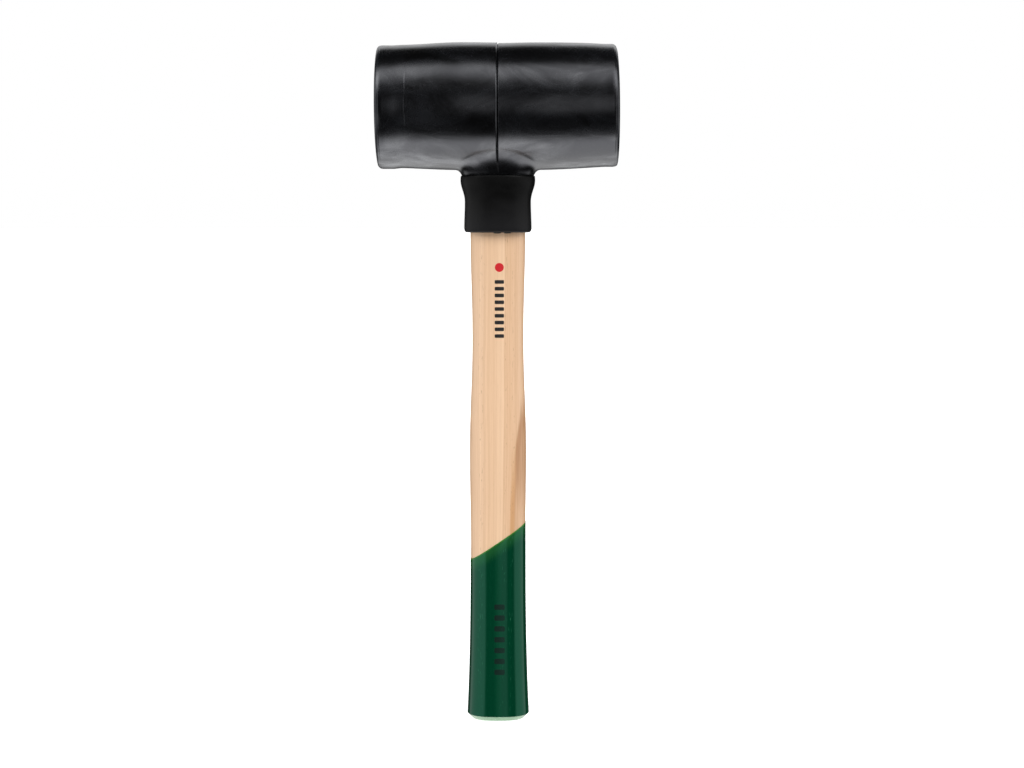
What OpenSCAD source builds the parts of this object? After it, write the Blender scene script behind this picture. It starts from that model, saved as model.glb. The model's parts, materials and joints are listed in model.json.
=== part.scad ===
/* [Head] */
// Height of the whole mallet, from the butt of the handle to the crown of the head
total_h = 352.8; // [330:0.1:380]
// Length of the head, from striking face to striking face
head_l = 123; // [110:0.5:140]
// Diameter of the head at its fullest, either side of the parting line
head_d = 65; // [60:0.5:75]
// How much the diameter shrinks towards the striking faces
head_taper = 2.5; // [0:0.1:5]
// Rounding of the rim of each striking face
rim_r = 2; // [1:0.25:4]
// Width of the groove of the parting line round the middle
seam_w = 0.8; // [0.4:0.1:2]
// Depth of the groove of the parting line
seam_depth = 0.5; // [0.2:0.1:1]
// Length of the neck boss that shows between the head and the sleeve
boss_drop = 2.9; // [1:0.1:6]
// Width of the neck boss, along the striking axis
boss_w = 37.4; // [34:0.1:40]
// Depth of the neck boss
boss_d = 30.6; // [20.6:0.1:34]

/* [Sleeve] */
// Length of the rubber sleeve under the head
sleeve_h = 29.1; // [22:0.1:40]
// Width of the flared top of the sleeve, along the striking axis
flare_w = 38.5; // [36:0.1:44]
// Width of the sleeve at its waist
sleeve_w = 34.1; // [33:0.1:36]
// Width of the rolled lip at the bottom of the sleeve
lip_w = 35; // [33:0.1:37]
// Rounding of the rolled lip
lip_r = 1.2; // [0.5:0.1:2]
// Depth of the sleeve as a share of its width
sleeve_ratio = 0.82; // [0.8:0.01:1]
// Thickness of the adhesive between the handle and the sleeve
bond_t = 0.4; // [0.2:0.1:0.8]

/* [Handle] */
// Width of the handle at the butt, along the striking axis
butt_w = 32.6; // [30:0.1:36]
// Width of the slim part of the grip
waist_w = 28.5; // [26:0.1:30]
// Width of the swell above the grip
swell_w = 29.5; // [27:0.1:32]
// Width of the slimmest part, between the swell and the sleeve
slim_w = 26.5; // [24:0.1:28]
// Width where the handle enters the sleeve
shoulder_w = 28.4; // [26:0.1:30]
// Width of the tenon inside the head
tenon_w = 25; // [22:0.5:28]
// Depth of the handle as a share of its width
handle_ratio = 0.76; // [0.7:0.01:0.85]
// How square the oval section is, where 2 is an ellipse
squareness = 2.6; // [2.2:0.1:3]
// Chamfer round the butt
butt_chamfer = 2.9; // [1:0.1:4]
// Thickness of the dipped lacquer on the grip
coat_t = 0.25; // [0.1:0.05:0.5]
// Height of the middle of the slanted top edge of the lacquer
coat_edge_z = 95; // [60:1:110]
// Rise of that edge for each millimetre along the striking axis
coat_slant = 0.68; // [-1:0.01:1]

/* [Blind socket] */
// Depth of the tenon inside the head, above the neck boss's lower face
tenon_l = 46; // [30:1:52]
// Thickness of the adhesive round the tenon
glue_t = 0.3; // [0.2:0.1:0.6]
// Depth of the saw kerf in the end of the tenon
kerf_depth = 30; // [20:1:40]
// Thickness of the blind wedge at its thick end
wedge_t = 4; // [3:0.1:5]

/* [Hidden] */

head_z = total_h - head_d / 2;              // axis of the head
boss_z = head_z - head_d / 2 - boss_drop;   // joint between boss and sleeve
lip_z = boss_z - sleeve_h;                  // bottom of the sleeve
flare_z = boss_z - 2.3;                     // fullest part of the sleeve's flare
sleeve_waist_z = lip_z + 15.6;
waist_z = 91;                               // slim part of the grip
swell_z = 141;                              // swell above the grip
slim_z = 202;                               // slimmest part of the handle
flare_power = 2.4;                          // how suddenly the butt flares
tenon_z = boss_z + tenon_l;                 // sawn end of the tenon, at the socket's blind end
crown_half = 18;                            // half length of the head's straight middle
taper_end = 55;                             // distance from the middle where the taper ends
sides = 48;                                 // points round an oval
blade_t = 0.4;                              // thin end of the wedge
eps = 0.01;

function ease(t) = (1 - cos(180 * min(max(t, 0), 1))) / 2;
function mix(a, b, t) = a + (b - a) * t;
function blend(z, z0, w0, z1, w1) = mix(w0, w1, ease((z - z0) / (z1 - z0)));

// Width of the bare handle at a height
function handle_w(z) =
    z < waist_z ? mix(waist_w, butt_w, pow((waist_z - z) / waist_z, flare_power)) :
    z < swell_z ? blend(z, waist_z, waist_w, swell_z, swell_w) :
    z < slim_z ? blend(z, swell_z, swell_w, slim_z, slim_w) :
    z < lip_z ? blend(z, slim_z, slim_w, lip_z, shoulder_w) :
    blend(z, lip_z, shoulder_w, boss_z, tenon_w);

// Width of the sleeve's outside at a height
function sleeve_outer_w(z) =
    z < lip_z + lip_r ? lip_w - 2 * lip_r + 2 * sqrt(max(0, lip_r * lip_r - pow(lip_z + lip_r - z, 2))) :
    z < sleeve_waist_z ? blend(z, lip_z + lip_r, lip_w, sleeve_waist_z, sleeve_w) :
    z < flare_z ? blend(z, sleeve_waist_z, sleeve_w, flare_z, flare_w) :
    mix(flare_w, flare_w - 0.3, (z - flare_z) / (boss_z - flare_z));

// Point of a squarish oval of width w and depth d, in the direction a
function oval_point(w, d, a) =
    let (r = pow(pow(abs(cos(a)) * 2 / w, squareness) + pow(abs(sin(a)) * 2 / d, squareness),
                 -1 / squareness))
    [r * cos(a), r * sin(a)];
function directions() = [for (i = [0:sides - 1]) 360 * i / sides];
function oval(w, d) = [for (a = directions()) oval_point(w, d, a)];
function ring(w, d, z) = [for (p = oval(w, d)) [p[0], p[1], z]];

// Ring round the bare handle at a height, standing off it by a gap
function handle_ring(z, gap = 0) =
    ring(handle_w(z) + 2 * gap, handle_w(z) * handle_ratio + 2 * gap, z);
function butt_ring(z, gap = 0) =
    ring(butt_w - 2 * butt_chamfer + 2 * gap, butt_w * handle_ratio - 2 * butt_chamfer + 2 * gap, z);
function sleeve_ring(z) = ring(sleeve_outer_w(z), sleeve_outer_w(z) * sleeve_ratio, z);

// Heights of the rings inside the sleeve, which the handle, the bond and the sleeve share
inside_zs = [for (i = [0:5]) mix(lip_z, boss_z, i / 5)];
outside_zs = [
    for (a = [0:30:60]) lip_z + lip_r * (1 - cos(a)),
    for (i = [0:4]) mix(lip_z + lip_r, sleeve_waist_z, i / 4),
    for (i = [1:8]) mix(sleeve_waist_z, flare_z, i / 8),
    boss_z
];

// Height of the lacquer's slanted top edge in a direction
function coat_edge(a) =
    coat_edge_z + coat_slant * oval_point(handle_w(coat_edge_z), handle_w(coat_edge_z) * handle_ratio, a)[0];
// Ring of the lacquer, a share t of the way from the chamfer to the slanted edge
function coat_ring(t, gap) = [
    for (a = directions())
        let (z = mix(butt_chamfer, coat_edge(a), t), w = handle_w(z))
            let (p = oval_point(w + 2 * gap, w * handle_ratio + 2 * gap, a)) [p[0], p[1], z]
];

// Solid through a row of rings: capped at both ends, or joined into a loop to make a tube
module loft(rings, loop = false) {
    n = len(rings[0]);
    m = len(rings);
    quads = [
        for (k = [0:(loop ? m - 1 : m - 2)], i = [0:n - 1])
            [k * n + i, ((k + 1) % m) * n + i, ((k + 1) % m) * n + (i + 1) % n, k * n + (i + 1) % n]
    ];
    walls = [for (q = quads) each [[q[0], q[1], q[2]], [q[0], q[2], q[3]]]];
    caps = loop ? [] : [[for (i = [0:n - 1]) i], [for (i = [n - 1:-1:0]) (m - 1) * n + i]];
    polyhedron(points = [for (r = rings) each r], faces = concat(walls, caps), convexity = 6);
}

// Tenon above the neck boss's lower face, or the socket that stands off it by a gap
module tenon(gap = 0) {
    translate([0, 0, boss_z])
        linear_extrude(tenon_l + gap)
            polygon(oval(tenon_w + 2 * gap, tenon_w * handle_ratio + 2 * gap));
}

// Radius of the head at a distance from the parting line
function head_r(s) = head_d / 2 - head_taper / 2 * ease((abs(s) - crown_half) / (taper_end - crown_half));

// Half of the head's outline, as radius and distance, from the rim to the parting line
half_outline = concat(
    [for (a = [0:15:90]) [head_r(head_l / 2) - rim_r * (1 - sin(a)), head_l / 2 - rim_r * (1 - cos(a))]],
    [for (i = [1:14]) let (s = mix(head_l / 2 - rim_r, seam_w / 2, i / 14)) [head_r(s), s]]
);

module barrel() {
    near_side = [for (i = [len(half_outline) - 1:-1:0]) [half_outline[i][0], -half_outline[i][1]]];
    rotate([0, 90, 0])
        rotate_extrude($fn = 96)
            polygon(concat([[0, head_l / 2]], half_outline, [[head_d / 2 - seam_depth, 0]], near_side,
                           [[0, -head_l / 2]]));
}

module rubber_head() {
    color("#1c1c1e") difference() {
        union() {
            translate([0, 0, head_z]) barrel();
            translate([0, 0, boss_z])
                linear_extrude(head_z - boss_z)
                    polygon(oval(boss_w, boss_d));
        }
        tenon(glue_t);
    }
}

module neck_sleeve() {
    color("#242426")
        loft(concat([for (z = outside_zs) sleeve_ring(z)],
                    [for (i = [len(inside_zs) - 1:-1:0]) handle_ring(inside_zs[i], bond_t)]),
             loop = true);
}

// Bead of adhesive squeezed out under the sleeve's lip, at a place along the striking axis
module squeeze_out(x, len, r = 0.4) {
    front = oval_point(shoulder_w, shoulder_w * handle_ratio, -90 + asin(2 * x / shoulder_w) * 0.95);
    translate([x - len / 2, front[1] - r, lip_z - r / 2])
        rotate([0, 90, 0])
            cylinder(r = r, h = len, $fn = 24);
}

module sleeve_bond() {
    color("#0c0c0c") {
        loft(concat([for (z = inside_zs) handle_ring(z, bond_t)],
                    [for (i = [len(inside_zs) - 1:-1:0]) handle_ring(inside_zs[i])]),
             loop = true);
        squeeze_out(-0.2, 3.6);
        squeeze_out(5, 3.6);
    }
}

module head_bond() {
    color("#0c0c0c") difference() {
        tenon(glue_t);
        tenon();
    }
}

// Wedge blade that hangs from the end of the tenon, thinner towards its foot
module blade() {
    translate([0, 0, tenon_z])
        rotate([90, 0, 90])
            linear_extrude(tenon_w + 2, center = true)
                polygon([[-wedge_t / 2, 0], [-blade_t / 2, -kerf_depth],
                         [blade_t / 2, -kerf_depth], [wedge_t / 2, 0]]);
}

module handle() {
    grip_zs = [for (i = [0:31]) mix(butt_chamfer, lip_z, i / 32)];
    color("#e3bd94") difference() {
        loft(concat([butt_ring(coat_t)], [for (z = concat(grip_zs, inside_zs)) handle_ring(z)],
                    [handle_ring(tenon_z)]));
        blade();
    }
}

module grip_lacquer() {
    steps = 14;
    color("#1b5a3c")
        loft(concat([butt_ring(0, coat_t / 2)],
                    [for (i = [0:steps]) coat_ring(i / steps, coat_t)],
                    [for (i = [steps:-1:0]) coat_ring(i / steps, eps)],
                    [butt_ring(coat_t - eps)]));
}

module blind_wedge() {
    color("#cfa06c") intersection() {
        blade();
        tenon();
    }
}

rubber_head();
neck_sleeve();
head_bond();
sleeve_bond();
handle();
grip_lacquer();
blind_wedge();
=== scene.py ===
"""Rubber mallet: the visual model, built round the packed design.

Every piece is made at its place in the design's frame: Z up the handle, X along the striking axis.
"""
import json
import math

import bmesh
import bpy
from bpy.props import FloatProperty, FloatVectorProperty, IntProperty, PointerProperty
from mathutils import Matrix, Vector, noise


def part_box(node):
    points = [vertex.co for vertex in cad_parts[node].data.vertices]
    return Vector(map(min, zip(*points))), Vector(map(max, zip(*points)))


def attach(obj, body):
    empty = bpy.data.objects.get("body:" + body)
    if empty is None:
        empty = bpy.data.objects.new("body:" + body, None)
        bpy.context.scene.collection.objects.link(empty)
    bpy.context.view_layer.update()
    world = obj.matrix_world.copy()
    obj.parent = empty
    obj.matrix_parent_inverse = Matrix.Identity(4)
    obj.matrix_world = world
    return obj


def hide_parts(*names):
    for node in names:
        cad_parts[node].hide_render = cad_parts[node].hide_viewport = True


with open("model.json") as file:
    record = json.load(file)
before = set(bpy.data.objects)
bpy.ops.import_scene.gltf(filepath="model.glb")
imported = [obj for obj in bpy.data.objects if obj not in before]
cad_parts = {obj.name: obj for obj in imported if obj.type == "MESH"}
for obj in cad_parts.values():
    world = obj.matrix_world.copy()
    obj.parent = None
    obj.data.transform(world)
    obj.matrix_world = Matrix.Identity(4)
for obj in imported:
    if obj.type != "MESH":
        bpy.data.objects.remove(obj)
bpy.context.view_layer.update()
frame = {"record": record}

bl_info = {
    "name": "Rubber Mallet",
    "version": (1, 0, 0),
    "blender": (4, 5, 0),
    "location": "3D View > Sidebar > Mallet",
    "description": "Builds a rubber mallet with a dip-lacquered hickory handle",
    "category": "Add Mesh",
}

MM = 0.001
LACQUER = 0.25 * MM      # thickness of the dipped lacquer
HAIR = 0.01 * MM         # what is left between two solids that nearly touch
BODY = "root"
HEAD_LOW, HEAD_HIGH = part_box("rubber_head")
SLEEVE_LOW, SLEEVE_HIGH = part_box("neck_sleeve")
BOND_LOW, BOND_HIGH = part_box("sleeve_bond")
HANDLE_LOW, HANDLE_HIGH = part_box("handle")
GRIP_LOW, GRIP_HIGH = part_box("grip_lacquer")
SOCKET_LOW, SOCKET_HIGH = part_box("head_bond")
WEDGE_LOW, WEDGE_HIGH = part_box("blind_wedge")
MOUNTS = {mount["name"]: mount for mount in frame["record"]["mounts"]}
HEAD_AXIS_Z = MOUNTS["strike_face_right"]["pos_m"][2]


def length(name, description, default):
    """A property that holds a length, in metres."""
    return FloatProperty(name=name, description=description, default=default, min=0.0,
                         unit="LENGTH", subtype="DISTANCE", precision=5)


def colour(name, description, default):
    """A property that holds a linear colour."""
    return FloatVectorProperty(name=name, description=description, default=default, size=3,
                               min=0.0, max=1.0, subtype="COLOR")


# Settings


class MalletHeadSettings(bpy.types.PropertyGroup):
    """Sizes and colours of the rubber head."""

    crown_radius: length("Crown radius", "Radius of the barrel at its fullest", HEAD_HIGH.z - HEAD_AXIS_Z)
    half_length: length("Half length", "Parting line to striking face", HEAD_HIGH.x)
    taper: length("Taper", "How much the radius shrinks towards a striking face", 1.25 * MM)
    rim: length("Rim", "Rounding of the rim of a striking face", 2.0 * MM)
    seam_width: length("Seam width", "Width of the groove of the parting line", 1.0 * MM)
    seam_depth: length("Seam depth", "Depth of the groove of the parting line", 0.75 * MM)
    flash: length("Flash", "Height of the thin fin beside the parting line", 0.22 * MM)
    fillet: length("Fillet", "Reach of the blend between the barrel and its neck boss", 3.5 * MM)
    unevenness: length("Unevenness", "How far the moulded surface strays from true", 0.05 * MM)
    segments: IntProperty(name="Segments", description="Faces round the barrel", default=144, min=48)
    boss_width: length("Boss width", "Width of the neck boss under the barrel", 37.4 * MM)
    boss_depth: length("Boss depth", "Depth of the neck boss under the barrel", 30.6 * MM)
    rubber: colour("Rubber", "Colour of the clean rubber", (0.0011, 0.0011, 0.0011))
    bloom: colour("Bloom", "Colour of the chalky bloom and dust", (0.018, 0.021, 0.028))


class MalletSleeveSettings(bpy.types.PropertyGroup):
    """Sizes and colours of the sleeve and of the adhesive under it."""

    waist_width: length("Waist width", "Width of the sleeve at its waist", 34.1 * MM)
    lip_width: length("Lip width", "Width of the rolled lip", 34.8 * MM)
    lip_radius: length("Lip radius", "Rounding of the rolled lip", 1.6 * MM)
    rubber: colour("Rubber", "Colour of the sleeve's rubber", (0.0008, 0.0008, 0.0008))
    adhesive: colour("Adhesive", "Colour of the squeezed-out adhesive", (0.006, 0.005, 0.005))


class MalletHandleSettings(bpy.types.PropertyGroup):
    """Sizes and colours of the handle and of the wedge in its tenon."""

    waist_width: length("Waist width", "Width of the slim part of the grip", 28.5 * MM)
    swell_width: length("Swell width", "Width of the swell above the grip", 29.5 * MM)
    slim_width: length("Slim width", "Width of the slimmest part, below the sleeve", 26.5 * MM)
    shoulder_width: length("Shoulder width", "Width where the handle enters the sleeve", 28.4 * MM)
    waist_z: length("Waist height", "Height of the slim part of the grip", 91 * MM)
    swell_z: length("Swell height", "Height of the swell", 141 * MM)
    slim_z: length("Slim height", "Height of the slimmest part", 202 * MM)
    chamfer: length("Chamfer", "Chamfer round the butt", 2.9 * MM)
    depth_ratio: FloatProperty(name="Depth ratio", description="Depth of the handle over its width",
                               default=0.76, min=0.5, max=1.0)
    squareness: FloatProperty(name="Squareness", description="How square the oval section is",
                              default=2.6, min=2.0, max=4.0)
    sapwood: colour("Sapwood", "Palest wood", (0.92, 0.635, 0.412))
    latewood: colour("Latewood", "Darker lines of the grain", (0.70, 0.425, 0.24))
    heartwood: colour("Heartwood", "Brown streak on one side", (0.47, 0.235, 0.105))
    ink: colour("Ink", "Black printed marks", (0.004, 0.004, 0.004))
    signal: colour("Signal", "Red printed mark", (0.62, 0.004, 0.012))


class MalletGripSettings(bpy.types.PropertyGroup):
    """Sizes and colours of the dipped lacquer on the grip."""

    thickness: length("Thickness", "Thickness of the lacquer", LACQUER)
    edge_z: length("Edge height", "Height of the middle of the slanted edge", 95 * MM)
    slant: FloatProperty(name="Slant", description="Rise of the edge over the striking axis", default=0.68)
    lacquer: colour("Lacquer", "Colour of the green lacquer", (0.0007, 0.043, 0.018))
    thin_lacquer: colour("Thin lacquer", "Colour where the lacquer thins out", (0.055, 0.19, 0.025))
    marks: colour("Marks", "Dark printed marks on the lacquer", (0.006, 0.013, 0.010))


class MalletStageSettings(bpy.types.PropertyGroup):
    """The camera and the studio round the mallet."""

    lens: FloatProperty(name="Lens", description="Focal length", default=62.28, min=10.0, unit="CAMERA")
    distance: length("Distance", "Camera to handle", 0.920)
    height: length("Height", "Height of the camera", 0.2635)
    aside: length("Aside", "Camera to the right of the handle", 7.3 * MM)
    pitch: FloatProperty(name="Pitch", description="How far the camera looks down",
                         default=math.radians(5.37), subtype="ANGLE")
    floor: colour("Floor", "Colour of the studio floor", (0.9, 0.9, 0.9))


# Shape rules


def mix(a, b, t):
    return a + (b - a) * t


def ease(t):
    """Rises smoothly from 0 to 1 as t goes from 0 to 1."""
    return (1 - math.cos(math.pi * min(max(t, 0.0), 1.0))) / 2


def blend(z, low_z, low, high_z, high):
    return mix(low, high, ease((z - low_z) / (high_z - low_z)))


def notch(distance, width):
    """Depth 1 at no distance, gone at half the width."""
    return 1 - ease(abs(distance) / (width / 2))


def oval_y(x, half_w, half_d, power):
    """Half depth of a squarish oval at a place along its width."""
    return half_d * max(0.0, 1 - abs(x / half_w) ** power) ** (1 / power)


def handle_width(z, s):
    """Width of the bare handle at a height."""
    tenon = 2 * WEDGE_HIGH.x
    butt = 2 * (GRIP_HIGH.x - LACQUER)
    if z < s.waist_z:
        return mix(s.waist_width, butt, ((s.waist_z - z) / s.waist_z) ** 2.4)
    if z < s.swell_z:
        return blend(z, s.waist_z, s.waist_width, s.swell_z, s.swell_width)
    if z < s.slim_z:
        return blend(z, s.swell_z, s.swell_width, s.slim_z, s.slim_width)
    if z < SLEEVE_LOW.z:
        return blend(z, s.slim_z, s.slim_width, SLEEVE_LOW.z, s.shoulder_width)
    return blend(z, SLEEVE_LOW.z, s.shoulder_width, HEAD_LOW.z, tenon)


def steps(low, high, count):
    """Evenly spaced values from low to high, both included."""
    return [mix(low, high, i / count) for i in range(count + 1)]


def handle_row(z, s, gap=0.0):
    """A row of a loft's profile that stands off the bare handle by a gap."""
    half = handle_width(z, s) / 2
    return (half + gap, half * s.depth_ratio + gap, z)


# Nodes


def node(tree, kind, inputs=None, **settings):
    """Adds a node, sets its properties, and fills its inputs with values or links."""
    made = tree.nodes.new(kind)
    for key, value in settings.items():
        setattr(made, key, value)
    for key, value in (inputs or {}).items():
        plug(tree, made.inputs[key], value)
    return made


def plug(tree, socket, value):
    if isinstance(value, bpy.types.NodeSocket):
        tree.links.new(value, socket)
    else:
        socket.default_value = value


def calc(tree, operation, *values, clamp=False):
    """A Math node's result."""
    made = node(tree, "ShaderNodeMath", operation=operation, use_clamp=clamp)
    for socket, value in zip(made.inputs, values):
        plug(tree, socket, value)
    return made.outputs[0]


def times(tree, a, b):
    return calc(tree, "MULTIPLY", a, b)


def plus(tree, a, b, clamp=False):
    return calc(tree, "ADD", a, b, clamp=clamp)


def minus(tree, a, b):
    return calc(tree, "SUBTRACT", a, b)


def weighted(tree, *parts, clamp=False):
    """The sum of values times their shares, held to 0 to 1 at its last step where clamp is set."""
    total = times(tree, *parts[0])
    for place, part in enumerate(parts[1:], start=2):
        total = plus(tree, total, times(tree, *part), clamp=clamp and place == len(parts))
    return total


def ramp(tree, value, low, high, smooth=True):
    """Goes from 0 to 1 as the value goes from low to high; high may be the smaller."""
    made = node(tree, "ShaderNodeMapRange", {"Value": value, "From Min": low, "From Max": high},
                interpolation_type="SMOOTHSTEP" if smooth else "LINEAR")
    return made.outputs["Result"]


def blend_colour(tree, factor, a, b, mode="MIX"):
    """Mixes two colours by a factor."""
    made = node(tree, "ShaderNodeMix", data_type="RGBA", blend_type=mode, clamp_factor=True)
    plug(tree, made.inputs[0], factor)
    for socket, value in ((made.inputs[6], a), (made.inputs[7], b)):
        plug(tree, socket, value if isinstance(value, bpy.types.NodeSocket) else (*value, 1.0))
    return made.outputs[2]


def scaled(tree, vector, by):
    """A vector times another, channel by channel."""
    made = node(tree, "ShaderNodeVectorMath", {0: vector, 1: by}, operation="MULTIPLY")
    return made.outputs[0]


def in_mm(tree, vector):
    """A place in millimetres."""
    return scaled(tree, vector, (1000.0, 1000.0, 1000.0))


def noise_at(tree, vector, scale, detail=2.0, roughness=0.5, distortion=0.0, **settings):
    made = node(tree, "ShaderNodeTexNoise",
                {"Vector": vector, "Scale": scale, "Detail": detail, "Roughness": roughness,
                 "Distortion": distortion}, **settings)
    return made.outputs["Fac"]


def split(tree, vector):
    return node(tree, "ShaderNodeSeparateXYZ", {0: vector}).outputs


def new_group(name, kind, inputs, outputs):
    """An empty node group with named sockets, and its input and output nodes."""
    group = bpy.data.node_groups.new(name, kind)
    for label, socket, default in inputs:
        made = group.interface.new_socket(name=label, in_out="INPUT", socket_type=socket)
        if default is not None:
            made.default_value = default
    for label, socket in outputs:
        group.interface.new_socket(name=label, in_out="OUTPUT", socket_type=socket)
    return group, group.nodes.new("NodeGroupInput").outputs, group.nodes.new("NodeGroupOutput").inputs


FLOAT, VECTOR, RGB = "NodeSocketFloat", "NodeSocketVector", "NodeSocketColor"
GEOMETRY, WHOLE, FINISH = "NodeSocketGeometry", "NodeSocketInt", "NodeSocketMaterial"


def shared_group(name, build):
    """The node group of that name, built the first time it is asked for."""
    return bpy.data.node_groups.get(name) or build(name)


def use_group(tree, name, build, inputs):
    made = node(tree, "ShaderNodeGroup", node_tree=shared_group(name, build))
    for key, value in inputs.items():
        plug(tree, made.inputs[key], value)
    return made.outputs


def build_bloom(name):
    """Chalky bloom, smears and specks on moulded rubber."""
    tree, given, result = new_group(name, "ShaderNodeTree", [
        ("Vector", VECTOR, None), ("Cloud Size", FLOAT, 16.0), ("Streak", FLOAT, 0.45),
    ], [("Clouds", FLOAT), ("Flow", FLOAT), ("Specks", FLOAT), ("Height", FLOAT)])
    place = in_mm(tree, given["Vector"])
    fine = calc(tree, "DIVIDE", 1.0, given["Cloud Size"])
    along = node(tree, "ShaderNodeCombineXYZ", {0: given["Streak"], 1: 1.0, 2: 1.0}).outputs[0]
    drawn = scaled(tree, place, along)
    clouds = noise_at(tree, drawn, fine, 6.0, 0.62, 0.8)
    plug(tree, result["Clouds"], ramp(tree, clouds, 0.36, 0.74))
    flow = noise_at(tree, place, times(tree, fine, 1.4), 3.0, 0.55, 2.4)
    line = calc(tree, "ABSOLUTE", minus(tree, flow, 0.5))
    plug(tree, result["Flow"], ramp(tree, line, 0.012, 0.0))
    specks = noise_at(tree, place, 1.1, 2.0, 0.7)
    plug(tree, result["Specks"], ramp(tree, specks, 0.66, 0.76))
    grain = noise_at(tree, place, 3.2, 3.0, 0.6)
    plug(tree, result["Height"], weighted(tree, (grain, 0.35), (clouds, 0.65)))
    return tree


def build_grain(name):
    """Straight hickory grain: growth lines, fibres and pore dashes along Z."""
    tree, given, result = new_group(name, "ShaderNodeTree", [
        ("Vector", VECTOR, None), ("Line Spacing", FLOAT, 1.0), ("Sway", FLOAT, 1.6),
    ], [("Bands", FLOAT), ("Lines", FLOAT), ("Fibre", FLOAT), ("Pores", FLOAT)])
    place = in_mm(tree, given["Vector"])
    drift = noise_at(tree, scaled(tree, place, (0.03, 0.05, 0.0055)), 1.0, 2.0)
    drift = times(tree, minus(tree, drift, 0.5), times(tree, given["Sway"], 4.0))
    x, y, _ = split(tree, place)
    depth = plus(tree, plus(tree, x, times(tree, y, 0.22)), drift)
    depth = calc(tree, "DIVIDE", depth, given["Line Spacing"])

    def across(scale, detail):
        made = node(tree, "ShaderNodeTexNoise", {"W": depth, "Scale": scale, "Detail": detail},
                    noise_dimensions="1D")
        return made.outputs["Fac"]

    plug(tree, result["Bands"], ramp(tree, across(0.23, 1.0), 0.34, 0.66))
    coarse, thin = ramp(tree, across(0.95, 2.0), 0.36, 0.64), ramp(tree, across(2.3, 1.0), 0.5, 0.7)
    plug(tree, result["Lines"], weighted(tree, (coarse, 0.45), (thin, 0.55)))
    fibre = noise_at(tree, scaled(tree, place, (2.4, 2.4, 0.045)), 1.0, 4.0, 0.6)
    plug(tree, result["Fibre"], ramp(tree, fibre, 0.3, 0.7))
    dashes = noise_at(tree, scaled(tree, place, (3.4, 3.4, 0.30)), 1.0, 1.0, 0.4)
    dashes = ramp(tree, dashes, 0.66, 0.74)
    porous = ramp(tree, across(0.31, 0.0), 0.56, 0.66)
    present = plus(tree, times(tree, porous, 0.85), 0.15)
    plug(tree, result["Pores"], times(tree, dashes, present))
    return tree


def build_marks(name):
    """A column of plain rounded dashes, printed on the front of the handle."""
    tree, given, result = new_group(name, "ShaderNodeTree", [
        ("Vector", VECTOR, None), ("Centre", FLOAT, 0.8), ("Low", FLOAT, 201.0), ("Pitch", FLOAT, 3.48),
        ("Count", FLOAT, 9.0), ("Width", FLOAT, 4.8), ("Height", FLOAT, 1.9), ("Corner", FLOAT, 0.5),
    ], [("Mask", FLOAT)])
    x, y, z = split(tree, in_mm(tree, given["Vector"]))
    across = calc(tree, "ABSOLUTE", minus(tree, x, given["Centre"]))
    cell = calc(tree, "DIVIDE", minus(tree, z, given["Low"]), given["Pitch"])
    up = times(tree, calc(tree, "ABSOLUTE", minus(tree, calc(tree, "FRACT", cell), 0.5)),
              given["Pitch"])

    def past(value, size):
        inner = minus(tree, times(tree, size, 0.5), given["Corner"])
        return calc(tree, "MAXIMUM", minus(tree, value, inner), 0.0)

    far = calc(tree, "SQRT", plus(tree, calc(tree, "POWER", past(across, given["Width"]), 2.0),
                                  calc(tree, "POWER", past(up, given["Height"]), 2.0)))
    inside = ramp(tree, minus(tree, far, given["Corner"]), 0.08, -0.08)
    begun = calc(tree, "GREATER_THAN", cell, 0.0)
    ended = calc(tree, "LESS_THAN", cell, given["Count"])
    front = calc(tree, "LESS_THAN", y, 0.0)
    column = times(tree, times(tree, begun, ended), front)
    plug(tree, result["Mask"], times(tree, inside, column))
    return tree


# Materials


def new_material(name):
    """A node material with one Principled shader, its tree and the object coordinates."""
    material = bpy.data.materials.new(name)
    material.use_nodes = True
    tree = material.node_tree
    tree.nodes.clear()
    shader = node(tree, "ShaderNodeBsdfPrincipled")
    node(tree, "ShaderNodeOutputMaterial", {"Surface": shader.outputs[0]})
    place = node(tree, "ShaderNodeTexCoord").outputs["Object"]
    return material, tree, shader, place


def bump(tree, shader, height, strength, distance):
    made = node(tree, "ShaderNodeBump", {"Height": height, "Strength": strength, "Distance": distance})
    plug(tree, shader.inputs["Normal"], made.outputs[0])


def moulded_rubber(s):
    """Black moulded rubber of the head, with bloom, smears, a worn, dusty end and a painted reflection: a
    slightly paler right half.
    """
    material, tree, shader, place = new_material("Moulded Rubber")
    bloom = use_group(tree, "Rubber Bloom", build_bloom, {"Vector": place, "Cloud Size": 15.0, "Streak": 0.5})
    x, y, z = split(tree, in_mm(tree, place))
    end = ramp(tree, x, -44.0, -49.0)
    rim = ramp(tree, calc(tree, "ABSOLUTE", x), 58.8, 60.6)
    # painted reflection: the right half is mixed a little towards the bloom colour, standing in for its
    # lighter reflection band
    right = ramp(tree, x, -0.5, 1.0)
    # This mix holds the real bloom, smears, specks, dusty end and rims, plus the painted reflection of the
    # right half.
    dust_and_painted_light = weighted(tree, (bloom["Clouds"], 0.12), (bloom["Flow"], 0.06), (bloom["Specks"], 0.12),
                    (end, 0.03), (right, 0.02), (rim, 0.16), clamp=True)
    plug(tree, shader.inputs["Base Color"], blend_colour(tree, dust_and_painted_light, s.rubber, s.bloom))
    plug(tree, shader.inputs["Roughness"], plus(tree, 0.21, times(tree, dust_and_painted_light, 0.6)))
    film = weighted(tree, (bloom["Clouds"], 0.85), (bloom["Flow"], 0.10), (bloom["Specks"], 0.2))
    plug(tree, shader.inputs["Coat Weight"], film)
    shader.inputs["Coat Roughness"].default_value = 0.23
    shader.inputs["Coat Tint"].default_value = (0.94, 0.96, 1.0, 1.0)
    shader.inputs["Specular Tint"].default_value = (0.76, 0.77, 0.84, 1.0)
    bump(tree, shader, bloom["Height"], 0.15, 0.12 * MM)
    return material


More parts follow.
